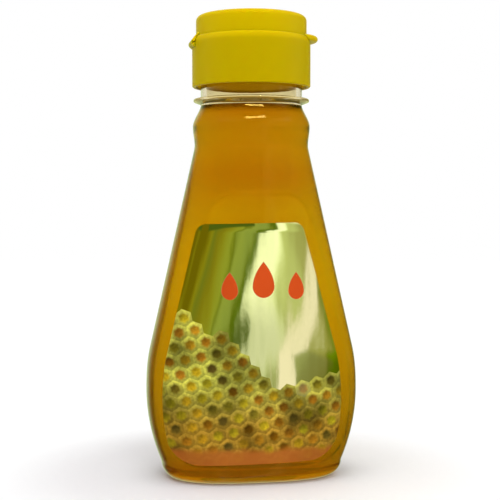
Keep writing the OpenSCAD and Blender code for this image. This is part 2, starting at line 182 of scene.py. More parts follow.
def cutBy(shell, cutters, bevel):
    # the shell with its edges broken, less the cutters, by Blender's exact boolean
    spare = []
    for part in [shell, *cutters]:
        piece = bpy.data.objects.new("spare", meshOf("spare", *part))
        bpy.context.scene.collection.objects.link(piece)
        spare.append(piece)
    if bevel:
        edge = spare[0].modifiers.new("edge", "BEVEL")
        edge.width = bevel * mm
        edge.segments = meshing["bevelSteps"]
        edge.limit_method = "ANGLE"
        edge.angle_limit = math.radians(meshing["bevelAngle"])
    for cutter in spare[1:]:
        cut = spare[0].modifiers.new("cut", "BOOLEAN")
        cut.operation = "DIFFERENCE"
        cut.solver = "EXACT"
        cut.object = cutter
    made = spare[0].evaluated_get(bpy.context.evaluated_depsgraph_get()).to_mesh()
    points = [tuple(v.co / mm) for v in made.vertices]
    faces = [tuple(p.vertices) for p in made.polygons]
    for piece in spare:
        bpy.data.objects.remove(piece)
    return points, faces


def revolved(outline, columns=192, swell=None):
    # a closed half section turned about +Z; swell gives each point's extra radius
    turns = np.linspace(0, 2 * math.pi, columns, endpoint=False)
    rows = []
    for r, z in outline:
        reach = r + swell(turns, z, r) if swell and r > 0 else np.full(columns, r)
        rows.append(np.column_stack([reach * np.cos(turns), reach * np.sin(turns), np.full(columns, z)]))
    if outline[0][0] > 0:
        rows.append(rows[0])
    return np.vstack(rows), gridFaces(len(rows), columns)


def extruded(profile, wide):
    # a profile in the XZ plane, stretched across Y
    count = len(profile)
    points = [(x, y, z) for y in (-wide / 2, wide / 2) for x, z in profile]
    sides = [(i, (i + 1) % count, count + (i + 1) % count, count + i) for i in range(count)]
    return points, sides + [tuple(range(count))[::-1], tuple(range(count, 2 * count))]


# Shader maths

class Socket:
    # one output of a material's node, which Python's operators work on
    def __init__(self, finish, source):
        self.finish = finish
        self.source = source

    def combined(self, operation, other, flipped=False):
        kind = self.source.type
        if kind != "VALUE" and isinstance(other, (int, float)):
            other = (other,) * 3
        first, second = (other, self) if flipped else (self, other)
        if kind == "RGBA":
            settings = {"data_type": "RGBA", "blend_type": operation}
            return self.finish.node("Mix", settings, {0: 1.0, 6: first, 7: second}, 2)
        family = "VectorMath" if kind == "VECTOR" else "Math"
        return self.finish.node(family, {"operation": operation}, {0: first, 1: second})

    def __add__(self, other):
        return self.combined("ADD", other)

    def __radd__(self, other):
        return self.combined("ADD", other, True)

    def __sub__(self, other):
        return self.combined("SUBTRACT", other)

    def __rsub__(self, other):
        return self.combined("SUBTRACT", other, True)

    def __mul__(self, other):
        return self.combined("MULTIPLY", other)

    def __rmul__(self, other):
        return self.combined("MULTIPLY", other, True)

    def __truediv__(self, other):
        return self.combined("DIVIDE", other)

    def __rtruediv__(self, other):
        return self.combined("DIVIDE", other, True)

    def __mod__(self, other):
        return self.combined("FLOORED_MODULO", other)

    def __gt__(self, other):
        return self.combined("GREATER_THAN", other)

    def __abs__(self):
        return self.called("ABSOLUTE")

    def most(self, other):
        return self.combined("MAXIMUM", other)

    def least(self, other):
        return self.combined("MINIMUM", other)

    def called(self, operation):
        return self.finish.node("Math", {"operation": operation}, {0: self})

    def stepped(self, start, end, low=0.0, high=1.0):
        # goes smoothly from low to high while this value goes from start to end
        ranges = {"Value": self, "From Min": start, "From Max": end, "To Min": low, "To Max": high}
        return self.finish.node("MapRange", {"interpolation_type": "SMOOTHSTEP"}, ranges)

    def between(self, start, end, soft):
        # one from start to end, nothing outside
        return self.stepped(start - soft, start + soft) * self.stepped(end - soft, end + soft, 1.0, 0.0)

    def aroundOne(self, share):
        # a noise as a factor that is one on average
        return self * share + (1 - share / 2)


def lengthOf(a, b):
    return (a * a + b * b).called("SQRT")


class Finish:
    # a material, or the world, under construction
    def __init__(self, name, owner=None):
        self.material = owner or bpy.data.materials.new(name)
        self.material.use_nodes = True
        self.tree = self.material.node_tree
        self.tree.nodes.clear()

    def node(self, kind, settings=None, sockets=None, out=0):
        made = self.tree.nodes.new("ShaderNode" + kind)
        for key, value in (settings or {}).items():
            if key != "stops":
                setattr(made, key, value)
                continue
            stops = made.color_ramp.elements
            while len(stops) < len(value):
                stops.new(0.5)
            for i, (place, colour) in enumerate(value):
                stops[i].position = place
                stops[i].color = (*colour, 1)
        for key, value in (sockets or {}).items():
            if isinstance(value, Socket):
                self.tree.links.new(value.source, made.inputs[key])
                continue
            if made.inputs[key].type == "RGBA":
                value = (*value[:3], 1)
            made.inputs[key].default_value = value
        return Socket(self, made.outputs[out]) if len(made.outputs) else None

    def point(self, stretch=(1, 1, 1)):
        # the place on the piece in millimetres
        return self.node("TexCoord", out=3) * tuple(s / mm for s in stretch)

    def axes(self, vector=None):
        vector = vector or self.point()
        return [self.node("SeparateXYZ", None, {0: vector}, i) for i in range(3)]

    def noise(self, scale, stretch=(1, 1, 1), detail=3.0):
        # scale is in waves to the millimetre
        sockets = {"Vector": self.point(stretch), "Scale": scale, "Detail": detail}
        return self.node("TexNoise", None, sockets)

    def blend(self, share, first, second):
        return self.node("Mix", {"data_type": "RGBA"}, {0: share, 6: first, 7: second}, 2)

    def bump(self, height):
        # height is in millimetres
        return self.node("Bump", None, {"Height": height, "Distance": mm, "Strength": 1.0})

    def finished(self, sockets, volume=None):
        links = {"Surface": self.node("BsdfPrincipled", None, sockets)}
        if volume:
            links["Volume"] = self.node("VolumeAbsorption", None, volume)
        self.node("OutputMaterial", None, links)
        return self.material


black = (0.0, 0.0, 0.0)
white = (1.0, 1.0, 1.0)

# Camera, world, lights and floor

photo = {
    "size": 500, "focalPixels": 1138.0, "sensor": 36.0, "clipFrom": 10.0,
    "distance": 398.4, "azimuth": 9.0, "eye": 95.5, "aim": 78.8, "aimAcross": -0.45,
}


def addCamera():
    turn = math.radians(photo["azimuth"])
    sine, cosine = math.sin(turn), math.cos(turn)
    eye = Vector((-photo["distance"] * sine, -photo["distance"] * cosine, photo["eye"])) * mm
    aim = Vector((photo["aimAcross"] * cosine, -photo["aimAcross"] * sine, photo["aim"])) * mm
    data = bpy.data.cameras.new("camera")
    data.sensor_width = photo["sensor"]
    data.lens = photo["focalPixels"] * photo["sensor"] / photo["size"]
    data.clip_start = photo["clipFrom"] * mm
    camera = bpy.data.objects.new("camera", data)
    camera.location = eye
    camera.rotation_euler = (aim - eye).to_track_quat("-Z", "Y").to_euler()
    bpy.context.scene.collection.objects.link(camera)
    bpy.context.scene.camera = camera


# what glossy surfaces mirror: bands that stand round the bottle, a pale curtain at the right, a dark beam
# under a pale ceiling, one bright window up in front, and a green side behind. A turn is in degrees from
# straight ahead of the label, a height in degrees over the horizon, and an up value is a height's sine.
room = {
    "bands": [
        (-180, (0.16, 0.12, 0.01)), (-84, (0.17, 0.13, 0.0)), (-74, (0.29, 0.25, 0.01)),
        (-66, (0.18, 0.20, 0.02)), (-52, (0.25, 0.21, 0.01)), (-42, (0.30, 0.28, 0.02)),
        (-30, (0.33, 0.36, 0.05)), (-26, (0.16, 0.19, 0.01)), (-21, (0.33, 0.38, 0.09)),
        (-9, (0.28, 0.34, 0.09)), (-6, (0.20, 0.24, 0.03)), (-4, (0.09, 0.14, 0.0)),
        (0, (0.14, 0.20, 0.01)), (1.5, (1.05, 1.08, 1.0)), (9, (1.25, 1.25, 1.3)),
        (13, (1.05, 1.1, 0.9)), (17, (0.62, 0.66, 0.36)), (26, (0.54, 0.57, 0.30)),
        (34, (0.42, 0.42, 0.20)), (48, (0.36, 0.34, 0.12)), (54, (0.24, 0.25, 0.04)),
        (62, (0.16, 0.25, 0.0)), (76, (0.13, 0.16, 0.0)), (92, (0.12, 0.10, 0.0)),
        (180, (0.16, 0.12, 0.01)),
    ],
    "lean": {"slope": -2.4, "heights": (-12.0, 10.0)},
    "wave": {"slope": -1.5, "shift": -2.8, "knee": -1.2, "foot": -2.8, "back": 6.4,
             "fadeHeights": (2.2, 5.0)},
    "dim": {"up": (-0.055, -0.01), "below": 0.62},
    "curtain": {"turn": (31, 39.5), "soft": 1.5, "lean": -4.4, "straightUnder": -4.0, "upTo": (0.14, 0.11),
                "colour": (1.05, 0.92, 1.1)},
    "behind": {"turn": (135, 168), "colour": (0.62, 0.78, 0.42)},
    "beam": {"turn": (-60, 4), "soft": 1.0, "upFrom": (0.20, 0.24), "colour": (0.08, 0.12, 0.01)},
    "ceiling": {"turn": (72, 92), "upFrom": (0.36, 0.42), "colour": (0.85, 0.87, 0.75)},
    "top": {"upFrom": (0.60, 0.66), "colour": (0.14, 0.12, 0.02)},
    "window": {"turn": (-25, 25), "soft": 0.5, "up": (0.68, 0.76), "softUp": 0.01, "light": 40.0},
    "light": 1.0,
}
lamps = [
    {"name": "overhead", "at": (-60, -120, 520), "size": 420, "power": 1.2},
    {"name": "front", "at": (60, -620, 260), "size": 260, "power": 1.5},
]
lampAim = (0, 0, 80)


def mirroredRoom(air):
    across, away, up = air.axes(air.node("TexCoord"))
    degree = 180 / math.pi
    turn = air.node("Math", {"operation": "ARCTAN2"}, {0: across, 1: -1 * away}) * degree
    height = up.called("ARCSINE") * degree
    stops = [(place / 360 + 0.5, colour) for place, colour in room["bands"]]
    # the bands lean, and near eye level they wave: to one side down to the knee, and back below it
    lean, wave = room["lean"], room["wave"]
    leaning = height.most(lean["heights"][0]).least(lean["heights"][1]) * lean["slope"]
    sway = height.most(wave["knee"]) * wave["slope"] + wave["shift"]
    sway = sway * height.stepped(*wave["fadeHeights"], 1.0, 0.0)
    back = (height - wave["knee"]).least(0.0).most(wave["foot"] - wave["knee"]) * wave["back"]
    bands = air.node("ValToRGB", {"stops": stops}, {0: (turn + leaning + sway + back) / 360 + 0.5})
    dim, curtain, behind, beam = (room[key] for key in ("dim", "curtain", "behind", "beam"))
    hung = turn + height.most(curtain["straightUnder"]) * curtain["lean"]
    cloth = hung.between(*curtain["turn"], curtain["soft"]) * up.stepped(*curtain["upTo"])
    mirror = air.blend(cloth, bands * up.stepped(*dim["up"], dim["below"], 1.0), curtain["colour"])
    mirror = air.blend(abs(turn).stepped(*behind["turn"]), mirror, behind["colour"])
    shelf = turn.between(*beam["turn"], beam["soft"]) * up.stepped(*beam["upFrom"])
    mirror = air.blend(shelf, mirror, beam["colour"])
    ceiling, top, window = room["ceiling"], room["top"], room["window"]
    overhead = up.stepped(*ceiling["upFrom"]) * abs(turn).stepped(*ceiling["turn"], 1.0, 0.0)
    mirror = air.blend(overhead, mirror, ceiling["colour"])
    mirror = air.blend(up.stepped(*top["upFrom"]), mirror, top["colour"])
    pane = turn.between(*window["turn"], window["soft"]) * up.between(*window["up"], window["softUp"])
    return air.blend(pane, mirror, (window["light"],) * 3)


def addWorld():
    world = bpy.data.worlds.new("room")
    bpy.context.scene.world = world
    air = Finish("room", world)
    mirror = mirroredRoom(air)
    # only what a surface mirrors is the room, and all other light comes from plain white
    path = air.node("LightPath").source.node
    glossy = Socket(air, path.outputs["Is Glossy Ray"])
    mirrored = Socket(air, path.outputs["Is Reflection Ray"])
    seen = air.blend(glossy * mirrored, white, mirror)
    links = {"Surface": air.node("Background", None, {"Color": seen, "Strength": room["light"]})}
    air.node("OutputWorld", None, links)


def addLamps():
    for lamp in lamps:
        data = bpy.data.lights.new(lamp["name"], "AREA")
        data.shape = "DISK"
        data.size = lamp["size"] * mm
        data.energy = lamp["power"]
        light = bpy.data.objects.new(lamp["name"], data)
        light.location = Vector(lamp["at"]) * mm
        towards = Vector(lampAim) * mm - light.location
        light.rotation_euler = towards.to_track_quat("-Z", "Y").to_euler()
        light.visible_camera = False
        light.visible_glossy = False
        light.visible_transmission = False
        bpy.context.scene.collection.objects.link(light)


floor = {
    "rings": (0, 20, 40, 60, 90, 130, 200, 400, 1500), "columns": 96,
    "sides": (-60.0, 60.0), "left": (0.66, 0.64, 0.66), "right": (0.77, 0.745, 0.735),
    "speckle": {"scale": 0.6, "detail": 4.0}, "speckleShare": 0.02, "roughness": 0.6, "specular": 0.2,
    "pool": (54, 102), "glow": 1.05,
    "under": (26.0, 14.5), "underEdge": (0.75, 1.1), "amber": (0.40, 0.20, 0.03),
}


def addFloor():
    # a shaded pool round the bottle that fades into plain white, with painted shade that darkens its left
    # side
    finish = Finish("pale floor")
    x, y = finish.axes()[:2]
    speckle = finish.noise(**floor["speckle"]).aroundOne(floor["speckleShare"])
    surface = finish.node("BsdfPrincipled", None, {
        # painted shade: the floor's colour is darker at the left than at the right
        "Base Color": finish.blend(x.stepped(*floor["sides"]), floor["left"], floor["right"]) * speckle,
        "Roughness": floor["roughness"], "Specular IOR Level": floor["specular"]})
    glow = finish.node("Emission", None, {"Color": white, "Strength": floor["glow"]})
    # under the pushed-up base a painted amber glow stands for the light that the honey has coloured
    wide, deep = floor["under"]
    under = ((x * x) / wide**2 + (y * y) / deep**2).stepped(*floor["underEdge"], 1.0, 0.0)
    amber = finish.node("Emission", None, {"Color": floor["amber"], "Strength": 1.0})
    near = finish.node("MixShader", None, {0: under, 1: surface, 2: amber})
    mixed = finish.node("MixShader", None, {0: lengthOf(x, y).stepped(*floor["pool"]), 1: near, 2: glow})
    finish.node("OutputMaterial", None, {"Surface": mixed})
    turns = np.linspace(0, 2 * math.pi, floor["columns"], endpoint=False)
    rings = [np.column_stack([r * np.cos(turns), r * np.sin(turns), 0 * turns]) for r in floor["rings"]]
    ground = meshOf("floor", np.vstack(rings), gridFaces(len(rings), floor["columns"]))
    ground.materials.append(finish.material)
    sheet = bpy.data.objects.new("floor", ground)
    bpy.context.scene.collection.objects.link(sheet)
    sheet.visible_glossy = False


bpy.context.scene.view_settings.view_transform = "Standard"
addCamera()
addWorld()
addLamps()
addFloor()
print("camera, room and floor made")

# The body's outline

# sizes in pairs are the width and the depth; the nub's profile is radius and share of its drop
body = {
    "foot": (63.2, 38.8), "heel": 5.5, "heelSlopes": (0.42, 0.25), "footRing": 2.4, "pushUp": 2.4,
    "nub": 0.5, "nubProfile": ((0, 1), (1.6, 1), (1.9, 0.8), (2.2, 0.2), (2.6, 0), (4, 0)),
    "floorShares": (0.6, 0.85), "floorRows": 9,
    "belly": (73.5, 44.6), "bellyHeight": 30.5,
    "taperFoot": 45.0, "taperIn": 1.3, "taperDeepShare": 0.99,
    "shoulder": 40.2, "shoulderHeight": 113.0,
    "groove": 39.5, "grooveHeight": 115.2, "ring": 40.7, "ringHeight": 121.6,
    "neck": 35.2, "neckSlopes": (-0.25, -0.25), "bore": 31.4, "neckHeight": 128.8, "neckJoin": 0.1,
    "supportRing": 40.2, "supportTop": 131.2, "supportThick": 1.1, "supportRoot": 1.7, "supportEdge": 0.8,
    "squareness": 2.6, "wall": 0.8, "fillSink": 0.08,
}
panel = {
    "deep": 0.45, "edge": 2.0, "border": 2.8, "borderTop": 11.0, "radiusTop": 11.0, "radiusLow": 10.0,
    "evenShare": 0.6, "sideColumns": 26, "slopeColumns": 6, "faceColumns": 38,
}
label = {
    "foot": 7.6, "top": 88.5, "sideLow": 5.7, "sideTop": 8.1, "radiusTop": 2.8, "radiusLow": 7.8,
    "thick": 0.14, "glue": 0.1, "tilt": 1.0, "shift": -2.3, "columns": 72, "rowStep": 1.1,
}
thread = {
    "pitch": 4.2, "height": 1.05, "root": 2.0, "crest": 0.9, "turns": 1.4, "drop": 2.2, "runOut": 0.125,
    "play": 0.12, "rowStep": 0.22, "capRowStep": 0.25, "lipClear": 1,
}
# how far apart the wall's rows are, and the least distance of two rows
rowSteps = {"panelEnds": 0.25, "panel": 1.25, "taper": 1.0, "shoulder": 0.3, "groove": 0.45, "least": 0.09}
lipHeight = footOf("foil_seal")
neckR, boreR = body["neck"] / 2, body["bore"] / 2
shoulderR, grooveR, ringR = body["shoulder"] / 2, body["groove"] / 2, body["ring"] / 2
footHalf = [size / 2 for size in body["foot"]]
bellyHalf = [size / 2 for size in body["belly"]]
taperHalf = [bellyHalf[0] - body["taperIn"], bellyHalf[1] * body["taperDeepShare"]]
taperSlopes = [(shoulderR - half) / (body["shoulderHeight"] - body["taperFoot"]) for half in taperHalf]
level = (0, 0)
circle = 2  # the squareness of a round row


def station(height, halves, slopes, squareness):
    return height, halves[0], slopes[0], halves[1], slopes[1], squareness


# each station holds its height, half width and slope, half depth and slope, and squareness
stations = np.array([
    station(body["heel"], footHalf, body["heelSlopes"], body["squareness"]),
    station(body["bellyHeight"], bellyHalf, level, body["squareness"]),
    station(body["taperFoot"], taperHalf, taperSlopes, body["squareness"]),
    station(body["shoulderHeight"], (shoulderR, shoulderR), taperSlopes, circle),
    station(body["grooveHeight"], (grooveR, grooveR), level, circle),
    station(body["ringHeight"], (ringR, ringR), level, circle),
    station(body["neckHeight"], (neckR, neckR), body["neckSlopes"], circle),
])


def ovalAt(z):
    # half width, half depth and squareness of the outer wall
    at = int(np.clip(np.searchsorted(stations[:, 0], z, side="right") - 1, 0, len(stations) - 2))
    low, high = stations[at], stations[at + 1]
    span = high[0] - low[0]
    t = (z - low[0]) / span
    halfWide = cubic(low[1], low[2], high[1], high[2], span, t)
    halfDeep = cubic(low[3], low[4], high[3], high[4], span, t)
    return halfWide, halfDeep, mix(low[5], high[5], t)


def wallAt(z):
    # the wall gets thicker from the groove up to the neck
    thick = np.clip((z - body["grooveHeight"]) / (body["neckHeight"] - body["grooveHeight"]), 0, 1)
    return mix(body["wall"], neckR - boreR, thick)


def cornerOff(depth, radius):
    # what a round corner takes off a side at this depth from the end
    depth = min(max(depth, 0), radius)
    return radius - math.sqrt(radius**2 - (radius - depth)**2)


def labelSide(z):
    share = (z - label["foot"]) / (label["top"] - label["foot"])
    return ovalAt(z)[0] - mix(label["sideLow"], label["sideTop"], share)


panelFoot = body["heel"] + panel["edge"] / 4
panelTop = label["top"] + panel["borderTop"]


def panelEdge(z):
    # the panel's edge as a share of the half width; above the panel it runs on to an even share
    y = min(max(z, panelFoot), panelTop)
    half = (labelSide(y) + panel["border"] - cornerOff(panelTop - y, panel["radiusTop"])
            - cornerOff(y - panelFoot, panel["radiusLow"]))
    rise = np.clip((z - panelTop) / (body["shoulderHeight"] - panelTop), 0, 1)
    return mix(half / ovalAt(y)[0], panel["evenShare"], rise)


def inPanel(z):
    # one over the panel's floor, down to nothing at its two ends
    return ease((z - panelFoot) / panel["edge"]) * ease((panelTop - z) / panel["edge"])


def frontY(x, z):
    # the front wall with its panel
    halfWide, halfDeep, n = ovalAt(z)
    share = min(1, abs(x) / halfWide)
    sunk = ease((panelEdge(z) - share) * halfWide / panel["edge"]) * inPanel(z)
    return panel["deep"] * sunk - halfDeep * (1 - share**n)**(1 / n)


def ovalRow(halfWide, halfDeep, n, z, outer, inner, deep=0.0):
    # a closed row: the sides in even steps of depth, the faces in even steps of width
    edge, floorEdge = (math.asin(min(1, share**(n / 2))) for share in (outer, inner))
    depths = math.cos(edge)**(2 / n) * np.linspace(0, 1, panel["sideColumns"], endpoint=False)
    side = np.arccos(depths**(n / 2))
    slope = np.linspace(edge, floorEdge, panel["slopeColumns"], endpoint=False)
    face = np.arcsin((inner * np.linspace(1, 0, panel["faceColumns"] + 1))**(n / 2))
    half = np.concatenate([side, slope, face])
    turns = np.concatenate([-half, half[-2::-1]])
    across = np.abs(np.sin(turns))**(2 / n)
    depth = np.clip(np.cos(turns), 0, 1)**(2 / n)
    y = deep * ease((outer - across) / (outer - inner)) - halfDeep * depth
    front = np.column_stack([np.sign(turns) * halfWide * across, y, np.full(len(turns), z)])
    back = front[::-1] * (1, -1, 1)
    return np.vstack([front[:-1], back[:-1]])


def wallRow(z, inset):
    halfWide, halfDeep, n = ovalAt(z)
    outer = panelEdge(z)
    return ovalRow(halfWide - inset, halfDeep - inset, n, z, outer, outer - panel["edge"] / halfWide,
                   panel["deep"] * inPanel(z))


def footRow(z, inset, share=1.0):
    outer = panelEdge(panelFoot)
    halfWide, halfDeep = footHalf
    return ovalRow((halfWide - inset) * share, (halfDeep - inset) * share, body["squareness"], z, outer,
                   outer - panel["edge"] / halfWide)


def roundRow(radius, z):
    outer = panel["evenShare"]
    return ovalRow(radius, radius, circle, z, outer, outer - panel["edge"] / neckR)


def heelRows(inset, steps=14):
    radius = body["heel"] - inset
    turns = np.radians(np.linspace(90, 0, steps, endpoint=False))
    return [footRow(body["heel"] - radius * math.sin(t), inset + radius * (1 - math.cos(t))) for t in turns]


def baseRows(lift, nub=0.0):
    # from the middle of the base, past the moulding nub, over the pushed-up floor to the flat ring
    ring = body["heel"] + body["footRing"] - lift / 2
    inner = footHalf[1] / 2
    height = body["pushUp"] + lift
    rows = [roundRow(r, height - nub * drop) for r, drop in body["nubProfile"]]
    rows += [footRow(height, inner, share) for share in body["floorShares"]]
    for t in np.linspace(1, 0, body["floorRows"]):
        rows.append(footRow(lift + body["pushUp"] * ease(t), mix(ring, inner, t)))
    return rows


def wallHeights():
    # where the wall has rows, which lie closer where it bends
    bend = quarterBend(14)
    low = panelFoot + panel["radiusLow"] * bend
    high = panelTop - panel["radiusTop"] * bend
    heights = [
        body["heel"], *low, *high,
        *evenly(panelFoot, panelFoot + panel["edge"], rowSteps["panelEnds"]),
        *evenly(panelTop - panel["edge"], panelTop, rowSteps["panelEnds"]),
        *evenly(low[-1], high[-1], rowSteps["panel"]),
        *evenly(panelTop, body["shoulderHeight"], rowSteps["taper"]),
        *evenly(body["shoulderHeight"], body["grooveHeight"], rowSteps["shoulder"]),
        *evenly(body["grooveHeight"], body["neckHeight"], rowSteps["groove"]),
    ]
    kept = []
    for z in sorted(heights):
        if not kept or z - kept[-1] > rowSteps["least"]:
            kept.append(z)
    return kept


def ridge(turns, z, start):
    # height of the screw ridge over the wall that carries it
    height = np.zeros_like(turns)
    for lap in range(math.ceil(thread["turns"])):
        turn = turns / (2 * math.pi) + lap
        away = np.abs(z - start - thread["pitch"] * turn)
        flank = np.clip((thread["root"] / 2 - away) / ((thread["root"] - thread["crest"]) / 2), 0, 1)
        full = np.clip(np.minimum(turn, thread["turns"] - turn) / thread["runOut"], 0, 1)
        height = np.maximum(height, thread["height"] * flank * full)
    return height


threadFoot = lipHeight - thread["drop"] - thread["root"] / 2 - thread["pitch"] * thread["turns"]


def bottleShell():
    supportR, supportTop, thick = body["supportRing"] / 2, body["supportTop"], body["supportThick"]
    lipRound = (neckR - boreR) / 4
    neckLine = rounded([
        (neckR, body["neckHeight"] + body["neckJoin"], 0),
        (neckR, supportTop - body["supportRoot"] * thick, 0.4),
        (supportR - thick / 2, supportTop - thick, 0.3),
        (supportR, supportTop - body["supportEdge"] * thick, 0.35),
        (supportR, supportTop, 0.5),
        (neckR, supportTop, 0.35),
        (neckR, lipHeight, lipRound),
        (boreR, lipHeight, lipRound),
        (boreR, body["neckHeight"], 0),
    ])
    rows = baseRows(0, body["nub"]) + heelRows(0)
    rows += [wallRow(z, 0) for z in [*wallHeights(), body["neckHeight"]]]
    for r, z in refined(neckLine, thread["rowStep"], supportTop, lipHeight - thread["lipClear"]):
        row = roundRow(r, z)
        if abs(r - neckR) < tiny:
            turns = np.arctan2(row[:, 1], row[:, 0]) % (2 * math.pi)
            row[:, :2] *= (1 + ridge(turns, z, threadFoot) / neckR)[:, None]
        rows.append(row)
    rows += [wallRow(z, wallAt(z)) for z in wallHeights()[::-1]]
    rows += heelRows(body["wall"])[::-1] + baseRows(body["wall"])[::-1]
    return np.vstack(rows), gridFaces(len(rows), len(rows[0]))


# the honey's surface climbs the wall: shares of its radius and of the rise at the wall
meniscus = {
    "rise": 0.35,
    "profile": ((1, 1), (0.985, 0.6), (0.965, 0.32), (0.93, 0.12), (0.88, 0),
                (0.6, -0.1), (0.3, -0.1), (0, -0.1)),
}


def honeyFill():
    # it reaches a little into the wall, so no false film of air shines between the two
    sink = body["wall"] - body["fillSink"]
    surface = topOf("honey")
    edge = surface + meniscus["rise"]
    rim = ovalAt(edge)[0] - wallAt(edge) + body["fillSink"]
    rows = baseRows(sink) + heelRows(sink)
    rows += [wallRow(z, wallAt(z) - body["fillSink"]) for z in wallHeights() if z < surface]
    for share, rise in meniscus["profile"]:
        rows.append(roundRow(rim * share, surface + meniscus["rise"] * rise))
    return np.vstack(rows), gridFaces(len(rows), len(rows[0]))


def labelSheet():
    # a thin closed sheet on the panel's floor, put on a little askew
    bend = quarterBend(12)
    low = label["foot"] + label["radiusLow"] * bend
    high = label["top"] - label["radiusTop"] * bend[::-1]
    heights = np.concatenate([low, evenly(low[-1], high[0], label["rowStep"])[1:], high])
    middle = (label["foot"] + label["top"]) / 2
    tilt = math.radians(label["tilt"])
    rows = []
    for z in heights:
        half = (labelSide(z) - cornerOff(label["top"] - z, label["radiusTop"])
                - cornerOff(z - label["foot"], label["radiusLow"]))
        xs = np.linspace(-half, half, label["columns"] + 1)
        turnedX = label["shift"] + xs * math.cos(tilt) - (z - middle) * math.sin(tilt)
        turnedZ = middle + xs * math.sin(tilt) + (z - middle) * math.cos(tilt)
        behind = np.array([frontY(x, up) for x, up in zip(turnedX, turnedZ)]) - label["glue"]
        face = np.column_stack([turnedX, behind - label["thick"], turnedZ])
        rows.append(np.vstack([face, np.column_stack([turnedX, behind, turnedZ])[::-1]]))
    columns = len(rows[0])
    ends = []
    for start in (0, (len(rows) - 1) * columns):
        for c in range(columns // 2 - 1):
            ends.append((start + c, start + c + 1, start + columns - 2 - c, start + columns - 1 - c))
    return np.vstack(rows), gridFaces(len(rows), columns) + ends


# the neck is moulded thicker than the blown body; its cream is partly the plastic's own tint and partly
# painted amber light, and the support ring glows with painted light
pet = {
    "blown": ((0.985, 0.99, 0.985), (0.965, 0.975, 0.965)), "blownCloud": 0.05,
    "moulded": ((0.83, 0.76, 0.52), (0.80, 0.73, 0.50)), "mouldedCloud": 0.2, "mouldedFrom": (126.8, 128.3),
    "ringOut": (0.1, 0.5), "ringHeights": (129.2, 131.4), "ringSoft": 0.1, "ringGlow": (0.09, 0.066, 0.012),
    "seamEdge": (0.12, 0.3), "seamHeights": (4.0, 127.0), "seamSoft": 1.0, "seamHigh": 0.05,
    "wave": {"scale": 0.09, "stretch": (1, 1, 0.5), "detail": 2.0}, "waveHigh": 0.10,
    "draw": {"scale": 0.5, "stretch": (1, 1, 0.4), "detail": 2.0}, "drawHigh": 0.006,
    "haze": {"scale": 0.3, "stretch": (1, 1, 0.2)}, "hazeRange": (0.3, 0.8, 0.0, 0.02),
    "ior": 1.57, "shine": (0.35, 0.25, 0.04),
}


def clearPlastic():
    finish = Finish("clear pet")
    x, y, z = finish.axes()
    seam = abs(y).stepped(*pet["seamEdge"], 1.0, 0.0) * z.between(*pet["seamHeights"], pet["seamSoft"])
    wave = finish.noise(**pet["wave"]) * pet["waveHigh"] + finish.noise(**pet["draw"]) * pet["drawHigh"]
    blown = finish.blend(finish.noise(pet["blownCloud"]), *pet["blown"])
    moulded = finish.blend(finish.noise(pet["mouldedCloud"]), *pet["moulded"])
    # painted glow on the support ring
    ringFrom, ringFull = (neckR + out for out in pet["ringOut"])
    ring = lengthOf(x, y).stepped(ringFrom, ringFull) * z.between(*pet["ringHeights"], pet["ringSoft"])
    return finish.finished({
        # the neck's cream holds painted amber light as well as the plastic's tint
        "Base Color": finish.blend(z.stepped(*pet["mouldedFrom"]), blown, moulded),
        "Emission Color": finish.blend(ring, black, pet["ringGlow"]), "Emission Strength": 1.0,
        "Roughness": finish.noise(**pet["haze"]).stepped(*pet["hazeRange"]),
        "Transmission Weight": 1.0, "IOR": pet["ior"], "Specular Tint": pet["shine"],
        "Normal": finish.bump(wave + seam * pet["seamHigh"])})


# the honey's amber by height, with painted shade in it: darker at the foot, palest behind the label.
# On the front alone, painted shade darkens the honey above the round top of the sunk panel, and a
# painted highlight lightens it below.
honey = {
    "colourAndShadeByHeight": [
        (2, (0.46, 0.26, 0.01)), (13, (0.50, 0.43, 0.01)), (27, (0.62, 0.58, 0.01)),
        (45, (0.76, 0.71, 0.01)), (65, (0.84, 0.84, 0.01)), (92, (0.81, 0.80, 0.01)),
        (105, (0.77, 0.62, 0.01)), (120, (0.79, 0.68, 0.01)), (126, (0.68, 0.50, 0.01)),
    ],
    "tall": 160.0, "cloud": {"scale": 0.045, "detail": 2.0}, "cloudShift": 0.06, "cloudShade": 0.1,
    "meniscusShadeFrom": (125.0, 127.8), "meniscusShadeLow": 0.28,
    "footHeights": (2.4, 3.4), "footGlow": (0.16, 0.08, 0.0),
    "archShade": {"half": 6.0, "radius": 11.0, "soft": 0.8, "front": (-4.0, 0.0), "fadeIn": (-8.0, 4.0),
             "fadeUp": (104.0, 113.0), "above": (0.93, 0.85, 1.0), "below": (1.03, 1.02, 1.0)},
    "wave": {"scale": 0.12, "stretch": (1, 1, 0.6), "detail": 2.0}, "waveHigh": 0.05,
    "hazeRange": (0.3, 0.7, 0.0, 0.02), "clear": 0.78, "ior": 1.49,
    "volume": {"Color": (0.984, 0.88, 0.4), "Density": 250.0},
}


